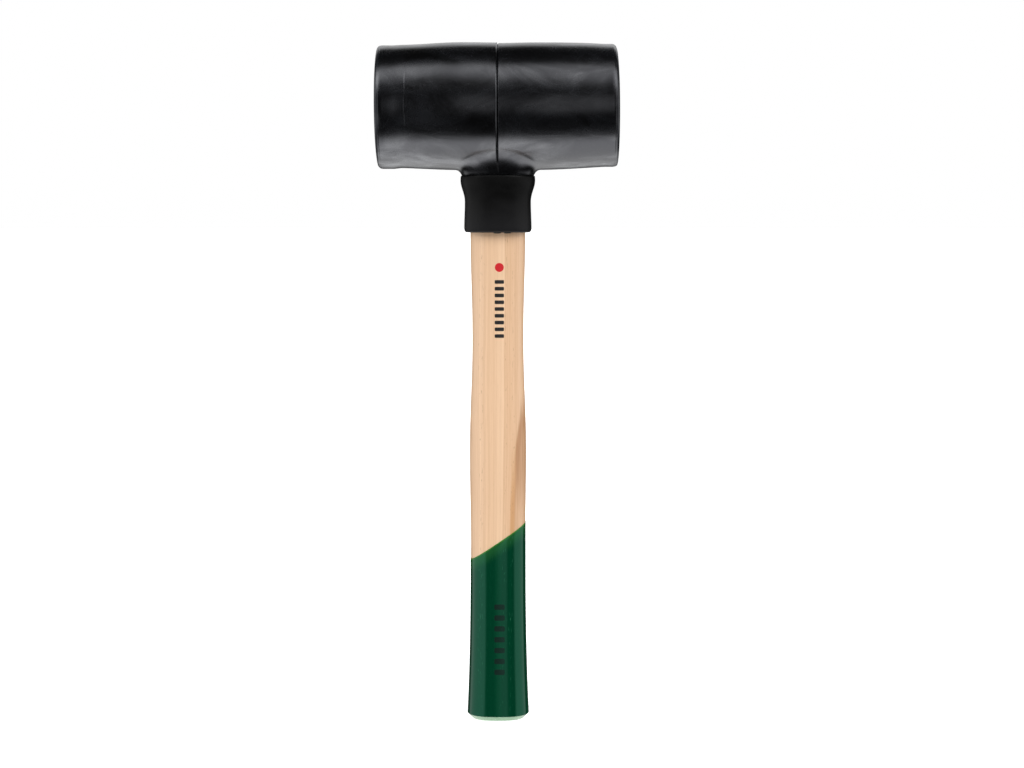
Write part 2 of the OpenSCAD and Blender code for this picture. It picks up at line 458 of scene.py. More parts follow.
def sleeve_rubber(s):
    """Fine matt rubber of the sleeve, with painted shade: darker towards the head and paler towards the lip.
    """
    material, tree, shader, place = new_material("Sleeve Rubber")
    bloom = use_group(tree, "Rubber Bloom", build_bloom, {"Vector": place, "Cloud Size": 9.0, "Streak": 0.8})
    z = split(tree, place)[2]
    # painted shade: the sleeve is made paler towards its lip and darker towards its top, where the head
    # shades it
    painted_light_near_lip = ramp(tree, z, SLEEVE_LOW.z + 20 * MM, SLEEVE_LOW.z)
    dust_and_painted_light = weighted(tree, (bloom["Clouds"], 0.15), (bloom["Specks"], 0.15))
    # The dust and the painted light near the lip are added together here.
    dust_and_painted_light = plus(tree, dust_and_painted_light, painted_light_near_lip, clamp=True)
    # The pale colour is taken both by the dust and by the painted light near the lip.
    pale = blend_colour(tree, 1.0, s.rubber, (11.0, 11.0, 12.0), "MULTIPLY")
    plug(tree, shader.inputs["Base Color"], blend_colour(tree, dust_and_painted_light, s.rubber, pale))
    plug(tree, shader.inputs["Roughness"], plus(tree, 0.44, times(tree, bloom["Clouds"], 0.08)))
    shader.inputs["Specular IOR Level"].default_value = 0.14
    bump(tree, shader, bloom["Height"], 0.3, 0.08 * MM)
    return material


def squeezed_adhesive(s):
    """Black adhesive, glossy and lumpy where it is squeezed out."""
    material, tree, shader, place = new_material("Adhesive")
    lumps = noise_at(tree, place, 900.0, 3.0)
    plug(tree, shader.inputs["Base Color"], blend_colour(tree, lumps, s.adhesive, (0.02, 0.018, 0.017)))
    plug(tree, shader.inputs["Roughness"], plus(tree, 0.3, times(tree, lumps, 0.25)))
    bump(tree, shader, lumps, 0.5, 0.1 * MM)
    return material


def grain_of(tree, place, spacing=1.0, sway=1.6):
    return use_group(tree, "Hickory Grain", build_grain,
                     {"Vector": place, "Line Spacing": spacing, "Sway": sway})


def clear_hickory(s):
    """Pale hickory under clear lacquer, with a brown heartwood streak and plain printed marks."""
    material, tree, shader, place = new_material("Clear Hickory")
    grain = grain_of(tree, place)
    x, y, z = split(tree, in_mm(tree, place))
    tone = weighted(tree, (grain["Bands"], 0.28), (grain["Lines"], 0.42), (grain["Fibre"], 0.20),
                    (ramp(tree, x, 1.0, 10.0), 0.22))
    wood = blend_colour(tree, tone, s.sapwood, s.latewood)

    wander = noise_at(tree, scaled(tree, place, (60.0, 60.0, 14.0)), 1.0, 3.0)
    wander = times(tree, minus(tree, wander, 0.5), 1.6)
    edge = plus(tree, times(tree, ramp(tree, z, 164.0, 138.0), -2.5),
                times(tree, ramp(tree, z, 134.0, 98.0), -1.0))
    inward = minus(tree, plus(tree, x, wander), plus(tree, edge, 11.1))
    core = times(tree, ramp(tree, inward, -0.3, 0.9),
                 mix_value(tree, ramp(tree, inward, 1.8, 5.0), 1.0, 0.75))
    core = times(tree, core, mix_value(tree, ramp(tree, z, 136.0, 106.0), 1.0, 0.35))
    core = times(tree, core, times(tree, ramp(tree, z, 174.0, 156.0), ramp(tree, x, 15.2, 13.8)))
    core = times(tree, core, mix_value(tree, grain["Fibre"], 0.72, 1.0))
    amber = times(tree, ramp(tree, inward, -2.2, -0.8), ramp(tree, inward, 1.4, 0.0))
    amber = times(tree, amber, ramp(tree, z, 156.0, 112.0))
    wood = blend_colour(tree, core, wood, s.heartwood)
    wood = blend_colour(tree, times(tree, amber, 0.75), wood, (0.62, 0.31, 0.12))
    wood = blend_colour(tree, times(tree, grain["Pores"], 0.55), wood, (0.33, 0.17, 0.075))

    black = use_group(tree, "Printed Marks", build_marks, {"Vector": place})["Mask"]
    red = use_group(tree, "Printed Marks", build_marks, {
        "Vector": place, "Low": 235.4, "Pitch": 5.2, "Count": 1.0, "Width": 4.6, "Height": 4.6, "Corner": 2.3,
    })["Mask"]
    wood = blend_colour(tree, black, wood, s.ink)
    wood = blend_colour(tree, red, wood, s.signal)
    plug(tree, shader.inputs["Base Color"], wood)
    plug(tree, shader.inputs["Roughness"], plus(tree, 0.38, times(tree, grain["Fibre"], 0.14)))
    shader.inputs["Coat Weight"].default_value = 0.35
    shader.inputs["Coat Roughness"].default_value = 0.16
    height = minus(tree, times(tree, grain["Fibre"], 0.4), grain["Pores"])
    bump(tree, shader, height, 0.25, 0.06 * MM)
    return material


def mix_value(tree, factor, a, b):
    """Mixes two numbers by a factor."""
    return plus(tree, times(tree, factor, b - a), a)


def green_lacquer(s):
    """Glossy green lacquer: thin and yellow at its edge, with the pores of the wood showing."""
    material, tree, shader, place = new_material("Green Lacquer")
    grain = grain_of(tree, place)
    x, y, z = split(tree, in_mm(tree, place))
    edge = plus(tree, s.edge_z / MM, times(tree, x, s.slant))
    below = minus(tree, edge, z)
    ragged = noise_at(tree, scaled(tree, place, (300.0, 300.0, 60.0)), 1.0, 3.0)
    below = plus(tree, below, times(tree, minus(tree, ragged, 0.5), 1.2))
    thin = times(tree, ramp(tree, below, 9.0, 0.5), 0.85)
    rim = ramp(tree, below, 1.0, 0.2)
    lacquer = blend_colour(tree, times(tree, grain["Bands"], 0.35), s.lacquer, (0.0005, 0.026, 0.012))
    lacquer = blend_colour(tree, thin, lacquer, (0.014, 0.098, 0.026))
    lacquer = blend_colour(tree, rim, lacquer, s.thin_lacquer)
    lacquer = blend_colour(tree, times(tree, grain["Pores"], 0.55), lacquer, (0.03, 0.16, 0.085))
    worn = times(tree, ramp(tree, z, 3.0, 2.6), mix_value(tree, noise_at(tree, place, 500.0), 0.45, 0.75))
    lacquer = blend_colour(tree, worn, lacquer, (0.26, 0.42, 0.20))
    marks = use_group(tree, "Printed Marks", build_marks, {
        "Vector": place, "Low": 23.8, "Pitch": 5.75, "Count": 7.0, "Width": 5.4, "Height": 2.8, "Corner": 0.7,
    })["Mask"]
    lacquer = blend_colour(tree, marks, lacquer, s.marks)
    plug(tree, shader.inputs["Base Color"], lacquer)
    roughness = plus(tree, 0.09, times(tree, grain["Fibre"], 0.04))
    plug(tree, shader.inputs["Roughness"], plus(tree, roughness, times(tree, marks, 0.1)))
    shader.inputs["Specular Tint"].default_value = (0.32, 1.0, 0.74, 1.0)
    height = minus(tree, times(tree, grain["Fibre"], 0.35), grain["Pores"])
    bump(tree, shader, height, 0.16, 0.05 * MM)
    return material


def sawn_wedge_wood(s):
    """Darker raw hardwood of the wedge."""
    material, tree, shader, place = new_material("Wedge Wood")
    grain = grain_of(tree, place, 0.6, 0.8)
    tone = weighted(tree, (grain["Lines"], 0.5), (grain["Fibre"], 0.4))
    wood = blend_colour(tree, tone, s.latewood, s.heartwood)
    plug(tree, shader.inputs["Base Color"], blend_colour(tree, grain["Pores"], wood, (0.16, 0.07, 0.03)))
    plug(tree, shader.inputs["Roughness"], plus(tree, 0.55, times(tree, grain["Fibre"], 0.2)))
    bump(tree, shader, grain["Fibre"], 0.4, 0.08 * MM)
    return material


# Meshes


def build_loft(name):
    """Geometry Nodes tree that turns a profile, a row of points (half width, half depth, height),
    into a skin of squarish ovals."""
    tree, given, result = new_group(name, "GeometryNodeTree", [
        ("Profile", GEOMETRY, None), ("Sides", WHOLE, 96), ("Squareness", FLOAT, 2.4),
        ("Slant", FLOAT, 0.0), ("Slant Start", FLOAT, 0.0), ("Slant End", FLOAT, 1.0),
        ("Material", FINISH, None),
    ], [("Geometry", GEOMETRY)])
    size = node(tree, "GeometryNodeAttributeDomainSize", {"Geometry": given["Profile"]})
    rows = size.outputs["Point Count"]
    grid = node(tree, "GeometryNodeMeshGrid", {
        "Size X": 1.0, "Size Y": 1.0, "Vertices X": plus(tree, given["Sides"], 1.0), "Vertices Y": rows,
    }).outputs["Mesh"]
    where = node(tree, "GeometryNodeInputPosition").outputs[0]
    u, v, _ = split(tree, where)
    angle = times(tree, plus(tree, u, 0.5), 2 * math.pi)
    row = times(tree, plus(tree, v, 0.5), minus(tree, rows, 1.0))
    sampled = node(tree, "GeometryNodeSampleIndex", {
        "Geometry": given["Profile"], "Value": where, "Index": calc(tree, "ROUND", row),
    }, data_type="FLOAT_VECTOR", domain="POINT").outputs[0]
    half_w, half_d, z = split(tree, sampled)
    cos, sin = calc(tree, "COSINE", angle), calc(tree, "SINE", angle)

    def share(part, half):
        portion = calc(tree, "DIVIDE", calc(tree, "ABSOLUTE", part), half)
        return calc(tree, "POWER", portion, given["Squareness"])

    total = plus(tree, share(cos, half_w), share(sin, half_d))
    reach = calc(tree, "POWER", total, calc(tree, "DIVIDE", -1.0, given["Squareness"]))
    x = times(tree, cos, reach)
    y = times(tree, sin, reach)
    lifted = node(tree, "ShaderNodeMapRange", {
        "Value": z, "From Min": given["Slant Start"], "From Max": given["Slant End"],
    }, interpolation_type="SMOOTHSTEP").outputs["Result"]
    z = plus(tree, z, times(tree, times(tree, x, given["Slant"]), lifted))
    place = node(tree, "ShaderNodeCombineXYZ", {0: x, 1: y, 2: z}).outputs[0]
    skin = node(tree, "GeometryNodeSetPosition", {"Geometry": grid, "Position": place}).outputs[0]
    finish_tree(tree, skin, given["Material"], result["Geometry"], 4e-6)
    return tree


def finish_tree(tree, geometry, material, result, merge):
    """Merges doubles, smooths, realizes and gives the material, at the end of a Geometry Nodes tree."""
    closed = node(tree, "GeometryNodeMergeByDistance", {"Geometry": geometry, "Distance": merge}).outputs[0]
    smooth = node(tree, "GeometryNodeSetShadeSmooth", {"Geometry": closed}).outputs[0]
    real = node(tree, "GeometryNodeRealizeInstances", {"Geometry": smooth}).outputs[0]
    covered = node(tree, "GeometryNodeSetMaterial", {"Geometry": real, "Material": material})
    plug(tree, result, covered.outputs[0])


def build_beads(name):
    """Geometry Nodes tree that puts a small squashed bead at each point."""
    tree, given, result = new_group(name, "GeometryNodeTree", [
        ("Points", GEOMETRY, None), ("Length", FLOAT, 3.6 * MM), ("Thickness", FLOAT, 0.7 * MM),
        ("Variation", FLOAT, 0.15), ("Seed", WHOLE, 3), ("Material", FINISH, None),
    ], [("Geometry", GEOMETRY)])
    ball = node(tree, "GeometryNodeMeshUVSphere",
                {"Segments": 24, "Rings": 12, "Radius": 0.5}).outputs["Mesh"]
    size = node(tree, "ShaderNodeCombineXYZ", {
        0: given["Length"], 1: given["Thickness"], 2: given["Thickness"],
    }).outputs[0]
    least = minus(tree, 1.0, given["Variation"])
    most = plus(tree, 1.0, given["Variation"])
    chance = node(tree, "FunctionNodeRandomValue", {"Seed": given["Seed"]}, data_type="FLOAT")
    # sockets 2 and 3 are the least and the most for plain numbers
    plug(tree, chance.inputs[2], least)
    plug(tree, chance.inputs[3], most)
    sized = node(tree, "ShaderNodeVectorMath", {0: size, "Scale": chance.outputs[1]},
                 operation="SCALE").outputs[0]
    beads = node(tree, "GeometryNodeInstanceOnPoints", {
        "Points": given["Points"], "Instance": ball, "Scale": sized,
    }).outputs[0]
    real = node(tree, "GeometryNodeRealizeInstances", {"Geometry": beads}).outputs[0]
    finish_tree(tree, real, given["Material"], result["Geometry"], 1e-7)
    return tree


def new_piece(name, mesh):
    piece = bpy.data.objects.new(name, mesh)
    bpy.context.scene.collection.objects.link(piece)
    return piece


def grown(piece, group, inputs):
    """Runs a Geometry Nodes tree on a piece and keeps the result as its plain mesh."""
    modifier = piece.modifiers.new("Build", "NODES")
    modifier.node_group = group
    sockets = {item.name: item.identifier for item in group.interface.items_tree if item.in_out == "INPUT"}
    for key, value in inputs.items():
        modifier[sockets[key]] = value
    bake(piece)
    return piece


def bake(piece):
    """Replaces a piece's mesh with what its modifiers make of it, and removes them."""
    depsgraph = bpy.context.evaluated_depsgraph_get()
    made = bpy.data.meshes.new_from_object(piece.evaluated_get(depsgraph), depsgraph=depsgraph)
    old = piece.data
    piece.modifiers.clear()
    piece.data = made
    made.name = piece.name
    bpy.data.meshes.remove(old)


def tidy(piece, sharp=40.0):
    """Turns faces outward, and smooths the shading but for the sharp edges."""
    shape = bmesh.new()
    shape.from_mesh(piece.data)
    bmesh.ops.recalc_face_normals(shape, faces=shape.faces)
    shape.to_mesh(piece.data)
    shape.free()
    piece.data.shade_smooth()
    piece.data.set_sharp_from_angle(angle=math.radians(sharp))


def lofted(name, profile, material, squareness, **slant):
    """A piece lofted through a profile of (half width, half depth, height) rows."""
    mesh = bpy.data.meshes.new(name)
    mesh.from_pydata(profile, [(i, i + 1) for i in range(len(profile) - 1)], [])
    piece = new_piece(name, mesh)
    inputs = {"Sides": 96, "Squareness": squareness, "Material": material, **slant}
    return grown(piece, shared_group("Oval Loft", build_loft), inputs)


def enlist(piece, part):
    """Attaches a finished piece to the body, and hides the part of the design that it stands for."""
    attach(piece, BODY)
    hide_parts(part)


def cut_away(piece, cutter):
    """Cuts one piece's shape out of another."""
    modifier = piece.modifiers.new("Cut", "BOOLEAN")
    modifier.operation = "DIFFERENCE"
    modifier.solver = "EXACT"
    modifier.object = cutter
    bake(piece)


POLE = 1e-6


def capped(profile):
    """Closes a profile's two ends with points on the axis."""
    first, last = profile[0], profile[-1]
    return [(POLE, POLE, first[2]), *profile, (POLE, POLE, last[2])]


def solid_of_rings(name, rings):
    """A capped solid through rings of the same number of points."""
    shape = bmesh.new()
    made = [[shape.verts.new(p) for p in ring] for ring in rings]
    count = len(rings[0])
    for low, high in zip(made, made[1:]):
        for i in range(count):
            shape.faces.new((low[i], low[(i + 1) % count], high[(i + 1) % count], high[i]))
    shape.faces.new(made[0][::-1])
    shape.faces.new(made[-1])
    mesh = bpy.data.meshes.new(name)
    shape.to_mesh(mesh)
    shape.free()
    return new_piece(name, mesh)


# Head


class Barrel:
    """The surface of the head's barrel, as a radius at a place along it and round it."""

    RING_LINE = -46.5 * MM   # fine line from the mould, on the left half only
    RIM_LINE = 1.9 * MM      # fine line inside each rim
    TILT = 0.011             # how far the right striking face leans back at its top

    def __init__(self, s):
        self.s = s
        self.flat_half = s.half_length - s.rim

    def lift(self, x):
        """How far the barrel's axis strays up towards one end and down towards the other."""
        up = 0.42 * MM * ease((x - 18 * MM) / (37 * MM))
        down = 0.18 * MM * ease((-18 * MM - x) / (27 * MM)) + 0.34 * MM * ease((-50 * MM - x) / (3 * MM))
        return up - down

    def leaned(self, x, z):
        """Where a place along the right end goes when the striking face leans back."""
        share = ease((x - 45 * MM) / (14 * MM))
        return x - self.TILT * share * (z - HEAD_AXIS_Z + self.s.crown_radius)

    def groove(self, x):
        return self.s.seam_depth * notch(x, self.s.seam_width)

    def radius(self, x, turn):
        s = self.s
        far = abs(x)
        share = (far - 18 * MM) / (37 * MM)
        drawn_in = ease(share) if x < 0 else min(max(share, 0.0), 1.0) ** 1.7
        r = s.crown_radius - s.unevenness - s.taper * drawn_in
        r -= 0.16 * MM * math.exp(-(far / (9 * MM)) ** 2)
        if x > 0:
            r -= 0.24 * MM * math.exp(-(far / (17 * MM)) ** 2)
        r -= self.groove(x)
        r += 0.15 * MM * ease((-50 * MM - x) / (3 * MM))
        ripple = noise.noise(Vector((3.1, 2.5 * math.sin(turn), 2.5 * math.cos(turn))))
        r += s.flash * (0.75 + 0.5 * ripple) * notch(x + 0.72 * MM, 0.42 * MM)
        r -= 0.04 * MM * notch(x - self.RING_LINE, 0.5 * MM)
        r -= 0.12 * MM * notch(far - (s.half_length - self.RIM_LINE), 0.5 * MM)
        swell = noise.noise(Vector((x * 42, 1.6 * math.sin(turn), 1.6 * math.cos(turn) + 7)))
        return r + s.unevenness * swell

    def point(self, x, turn):
        """The point on the barrel at an angle from straight down."""
        r = self.radius(x, turn)
        z = HEAD_AXIS_Z + self.lift(x) - r * math.cos(turn)
        return (self.leaned(x, z), r * math.sin(turn), z)

    def underside(self, x, y):
        """Height of the barrel's underside over a place in plan."""
        return HEAD_AXIS_Z - math.sqrt(self.radius(x, 0.0) ** 2 - y * y)

    def stations(self):
        """Places along the barrel for its rings: even, with more beside each fine line."""
        fine = [(0.0, [0.1, 0.22, 0.36, 0.5, 0.58, 0.66, 0.72, 0.8, 0.88, 0.98, 1.2]),
                (self.RING_LINE, [0.12, 0.25, 0.45])]
        fine += [(side * (self.s.half_length - self.RIM_LINE), [0.08, 0.16, 0.28]) for side in (-1, 1)]
        lines = set()
        for centre, offsets in fine:
            lines.update([centre] + [centre + sign * k * MM for k in offsets for sign in (-1, 1)])
        for x in steps(-self.flat_half, self.flat_half, 60):
            if all(abs(x - line) > 0.5 * MM for line in lines):
                lines.add(x)
        lines = {x for x in lines if abs(x) < self.flat_half}
        return sorted(lines | {-self.flat_half, self.flat_half})


class HeadMesh:
    """Builds the head as one closed mesh: barrel, striking faces, neck boss and the handle's socket."""

    WINDOW = 28 * MM         # half length of the patch round the boss
    CORNER = 0.8             # where on an oval the lines from the patch's corners end
    BLEND_ROWS = 7
    FILLET_ROWS = 12

    def __init__(self, s, handle):
        self.s, self.handle = s, handle
        self.barrel = Barrel(s)
        self.shape = bmesh.new()
        self.xs = self.barrel.stations()
        self.count = s.segments
        self.reach = round(self.count * 50 / 360)     # half width of the patch, in segments
        self.first = min(range(len(self.xs)), key=lambda k: abs(self.xs[k] + self.WINDOW))
        self.last = min(range(len(self.xs)), key=lambda k: abs(self.xs[k] - self.WINDOW))
        self.grid = {}

    def on_grid(self, k, j):
        """The barrel's own vertex at a station and a segment, made when first asked for."""
        key = (k, j % self.count)
        if key not in self.grid:
            turn = 2 * math.pi * key[1] / self.count
            self.grid[key] = self.shape.verts.new(self.barrel.point(self.xs[k], turn))
        return self.grid[key]

    def strip(self, a, b, closed=True):
        count = len(a)
        for i in range(count if closed else count - 1):
            self.shape.faces.new((a[i], a[(i + 1) % count], b[(i + 1) % count], b[i]))

    def in_window(self, k, j):
        """Whether the face after a station and a segment lies in the patch."""
        half = self.count // 2
        return self.first <= k < self.last and -self.reach <= (j + half) % self.count - half < self.reach

    def walls(self):
        for k in range(len(self.xs) - 1):
            for j in range(self.count):
                if not self.in_window(k, j):
                    self.shape.faces.new((self.on_grid(k, j), self.on_grid(k, j + 1),
                                          self.on_grid(k + 1, j + 1), self.on_grid(k + 1, j)))

    def striking_face(self, side):
        """The rounded rim and the flat face at one end."""
        k = 0 if side < 0 else len(self.xs) - 1
        ring = [self.on_grid(k, j) for j in range(self.count)]
        axis_z = HEAD_AXIS_Z + self.barrel.lift(self.xs[k])
        radii = [(v.co.yz - Vector((0, axis_z))).length for v in ring]
        rim = self.s.rim
        rows = [(rim * math.sin(a), rim * (1 - math.cos(a))) for a in steps(0, math.pi / 2, 6)[1:]]
        rows += [(rim, rim + inset * MM) for inset in (0.5, 2.0, 6.0, 12.0, 18.0, 24.0)]
        for out, inset in rows:
            x = side * (self.barrel.flat_half + out)
            dish = 0.12 * MM * ease((inset - rim) / (20 * MM))
            verts = []
            for j, r in enumerate(radii):
                t = 2 * math.pi * j / self.count
                r -= inset - min(inset, rim) * (0.6 * math.cos(t) - 0.1 if side > 0 else 0.12)
                y, z = r * math.sin(t), axis_z - r * math.cos(t)
                verts.append(self.shape.verts.new((self.barrel.leaned(x, z) - side * dish, y, z)))
            self.strip(ring, verts)
            ring = verts
        middle_x = self.barrel.leaned(side * self.s.half_length, axis_z) - side * 0.12 * MM
        middle = self.shape.verts.new((middle_x, 0, axis_z))
        for j in range(self.count):
            self.shape.faces.new((ring[j], ring[(j + 1) % self.count], middle))

    def border(self):
        """The patch's border as (station, segments from its middle) pairs, once round."""
        ks = list(range(self.first, self.last + 1))
        js = list(range(-self.reach, self.reach + 1))
        return ([(k, -self.reach) for k in ks[:-1]] + [(self.last, j) for j in js[:-1]]
                + [(k, self.reach) for k in ks[:0:-1]] + [(self.first, j) for j in js[:0:-1]])

    def aim(self, k, j, half_w, half_d):
        """Where the line from a place on the border ends on an oval, in plan."""
        power = self.handle.squareness
        corner_x = self.CORNER * half_w
        if abs(j) == self.reach:
            span = self.xs[self.last if self.xs[k] > 0 else self.first]
            share = abs(self.xs[k] / span)
            x = math.copysign(corner_x * (1 - (1 - share) ** abs(span / corner_x)), self.xs[k])
            return x, math.copysign(oval_y(x, half_w, half_d, power), j)
        y = oval_y(corner_x, half_w, half_d, power) * j / self.reach
        return math.copysign(oval_y(y, half_d, half_w, power), self.xs[k]), y

    def oval(self, half_w, half_d, z):
        """A ring on an oval, at a height, with a point for each point of the patch's border."""
        return [self.shape.verts.new((*self.aim(k, j, half_w, half_d), z)) for k, j in self.border()]

    def boss_root(self, half_w, half_d):
        """Fills the patch in to the boss, and returns the ring at the foot of the fillet round it."""
        border, fillet = self.border(), self.s.fillet
        ring = [self.on_grid(k, j) for k, j in border]
        outer = [self.aim(k, j, half_w + fillet, half_d + 2.3 * fillet) for k, j in border]
        for t in steps(0, 1, self.BLEND_ROWS)[1:]:
            verts = []
            for (k, j), (x1, y1) in zip(border, outer):
                turn = mix(2 * math.pi * j / self.count, math.asin(y1 / self.barrel.radius(x1, 0.0)), t)
                verts.append(self.shape.verts.new(self.barrel.point(mix(self.xs[k], x1, t), turn)))
            self.strip(ring, verts)
            ring = verts
        starts = [v.co.copy() for v in ring]
        for t in steps(0, 1, self.FILLET_ROWS)[1:]:
            verts = []
            for start, (k, j) in zip(starts, border):
                x, y = self.aim(k, j, half_w + 0.3 * fillet, half_d + 0.55 * fillet)
                y -= math.copysign(self.barrel.groove(x) * (1 - t), y)
                knee = Vector((x, y, self.barrel.underside(x, y)))
                foot = Vector((*self.aim(k, j, half_w, half_d), HEAD_LOW.z + 0.3 * MM))
                curve = (1 - t) ** 2 * start + 2 * t * (1 - t) * knee + t * t * foot
                verts.append(self.shape.verts.new(curve))
            self.strip(ring, verts)
            ring = verts
        return ring

    def build(self):
        s, tenon_d = self.s, WEDGE_HIGH.x * self.handle.depth_ratio
        glue = SOCKET_HIGH.x - WEDGE_HIGH.x
        self.walls()
        for side in (-1, 1):
            self.striking_face(side)
        ring = self.boss_root(s.boss_width / 2, s.boss_depth / 2)
        outline = [(s.boss_width / 2 - 0.2 * MM, s.boss_depth / 2 - 0.2 * MM, HEAD_LOW.z),
                   (SOCKET_HIGH.x, tenon_d + glue, HEAD_LOW.z)]
        outline += [(SOCKET_HIGH.x, tenon_d + glue, z) for z in steps(HEAD_LOW.z, SOCKET_HIGH.z, 8)[1:]]
        outline += [(SOCKET_HIGH.x * k, (tenon_d + glue) * k, SOCKET_HIGH.z) for k in (0.7, 0.4, 0.15)]
        for half_w, half_d, z in outline:
            verts = self.oval(half_w, half_d, z)
            self.strip(ring, verts)
            ring = verts
        middle = self.shape.verts.new((0, 0, SOCKET_HIGH.z))
        for i, v in enumerate(ring):
            self.shape.faces.new((v, ring[(i + 1) % len(ring)], middle))
        mesh = bpy.data.meshes.new("mallet_head")
        self.shape.to_mesh(mesh)
        self.shape.free()
        return new_piece("mallet_head", mesh)


# Operators


class MALLET_OT_head(bpy.types.Operator):
    """Adds the moulded rubber head"""

    bl_idname = "mallet.head"
    bl_label = "Rubber Head"

    def execute(self, context):
        s = context.scene.mallet_head
        piece = HeadMesh(s, context.scene.mallet_handle).build()
        piece.data.materials.append(moulded_rubber(s))
        tidy(piece, 50.0)
        enlist(piece, "rubber_head")
        return {"FINISHED"}


class MALLET_OT_sleeve(bpy.types.Operator):
    """Adds the flared sleeve under the head"""

    bl_idname = "mallet.sleeve"
    bl_label = "Neck Sleeve"

    def outside(self, s):
        """Heights and widths of the sleeve's outside, above the rolled lip."""
        waist_z, flare_z = SLEEVE_LOW.z + 15.6 * MM, SLEEVE_HIGH.z - 2.3 * MM
        lip_z = SLEEVE_LOW.z + s.lip_radius
        rows = [(z, blend(z, lip_z, s.lip_width, waist_z, s.waist_width)) for z in steps(lip_z, waist_z, 14)]
        flare = 2 * SLEEVE_HIGH.x
        rows += [(z, mix(s.waist_width, flare, ease((z - waist_z) / (flare_z - waist_z)) ** 1.15))
                 for z in steps(waist_z, flare_z, 22)[1:]]
        top = SLEEVE_HIGH.z
        return rows + [(top - 1.2 * MM, flare - 0.05 * MM), (top - 0.5 * MM, flare - 0.2 * MM),
                       (top - 0.12 * MM, flare - 0.6 * MM), (top, flare - 1.0 * MM)]

    def execute(self, context):
        s, handle = context.scene.mallet_sleeve, context.scene.mallet_handle
        ratio = SLEEVE_HIGH.y / SLEEVE_HIGH.x
        roll = s.lip_radius
        lip = [(SLEEVE_LOW.z + roll * (1 - math.cos(a)), s.lip_width - 2 * roll * (1 - math.sin(a)))
               for a in steps(0.0, math.pi / 2, 6)[:-1]]
        outer = [(w / 2, w / 2 * ratio, z) for z, w in lip + self.outside(s)]
        gap = (BOND_HIGH.x * 2 - handle.shoulder_width) / 2
        inner = [handle_row(z, handle, gap) for z in steps(SLEEVE_HIGH.z, SLEEVE_LOW.z, 12)]
        mouth = [(x + 0.35 * MM * (1 - k), y + 0.35 * MM * (1 - k), z + 0.35 * MM * k) for k, (x, y, z) in
                 ((1, inner[-1]), (0, inner[-1]))]
        profile = outer + inner[:-1] + mouth + [outer[0]]
        piece = lofted("flared_sleeve", profile, sleeve_rubber(s), handle.squareness)
        tidy(piece, 40.0)
        enlist(piece, "neck_sleeve")
        return {"FINISHED"}


class MALLET_OT_bond(bpy.types.Operator):
    """Adds the adhesive between handle and sleeve, with its squeezed-out beads"""

    bl_idname = "mallet.bond"
    bl_label = "Sleeve Adhesive"

    def execute(self, context):
        s, handle = context.scene.mallet_sleeve, context.scene.mallet_handle
        finish = squeezed_adhesive(s)
        heights = steps(SLEEVE_LOW.z + 0.1 * MM, SLEEVE_HIGH.z, 10)
        gap = BOND_HIGH.x - handle.shoulder_width / 2 - 0.02 * MM
        outer = [handle_row(z, handle, gap) for z in heights]
        inner = [handle_row(z, handle, HAIR) for z in heights[::-1]]
        layer = lofted("sleeve_adhesive", outer + inner + [outer[0]], finish, handle.squareness)
        half = handle.shoulder_width / 2
        places = []
        for x in (-0.2 * MM, 5.0 * MM):
            y = -oval_y(x, half, half * handle.depth_ratio, handle.squareness)
            places.append((x, y - 0.22 * MM, SLEEVE_LOW.z - 0.12 * MM))
        mesh = bpy.data.meshes.new("adhesive_beads")
        mesh.from_pydata(places, [], [])
        beads = new_piece("adhesive_beads", mesh)
        grown(beads, shared_group("Bead Row", build_beads), {"Material": finish})
        for piece in (layer, beads):
            tidy(piece, 60.0)
            enlist(piece, "sleeve_bond")
        return {"FINISHED"}


class MALLET_OT_socket(bpy.types.Operator):
    """Adds what is inside the head: the adhesive round the tenon, and the blind wedge in it"""

    bl_idname = "mallet.socket"
    bl_label = "Socket"

    def execute(self, context):
        s = context.scene.mallet_handle
        half_w, half_d = WEDGE_HIGH.x, WEDGE_HIGH.x * s.depth_ratio
        glue, top = SOCKET_HIGH.x - WEDGE_HIGH.x, WEDGE_HIGH.z
        heights = steps(SOCKET_LOW.z, top, 8)
        outer = [(half_w + glue, half_d + glue, z) for z in (*heights, SOCKET_HIGH.z)]
        inner = [(half_w, half_d, z) for z in heights[::-1]]
        profile = capped(outer)[1:] + [(POLE, POLE, top)] + inner + [outer[0]]
        finish = squeezed_adhesive(context.scene.mallet_sleeve)
        bond = lofted("socket_adhesive", profile, finish, s.squareness)
        rings = []
        for z in steps(WEDGE_LOW.z, top, 10):
            half_t = mix(0.2 * MM, WEDGE_HIGH.y, (z - WEDGE_LOW.z) / (top - WEDGE_LOW.z))
            right = [(oval_y(y, half_d, half_w, s.squareness), y, z) for y in steps(-half_t, half_t, 6)]
            rings.append(right + [(-x, y, z) for x, y, z in right[::-1]])
        wedge = solid_of_rings("blind_wedge", rings)
        wedge.data.materials.append(sawn_wedge_wood(s))
        tidy(bond)
        tidy(wedge, 30.0)
        enlist(bond, "head_bond")
        enlist(wedge, "blind_wedge")
        return {"FINISHED"}


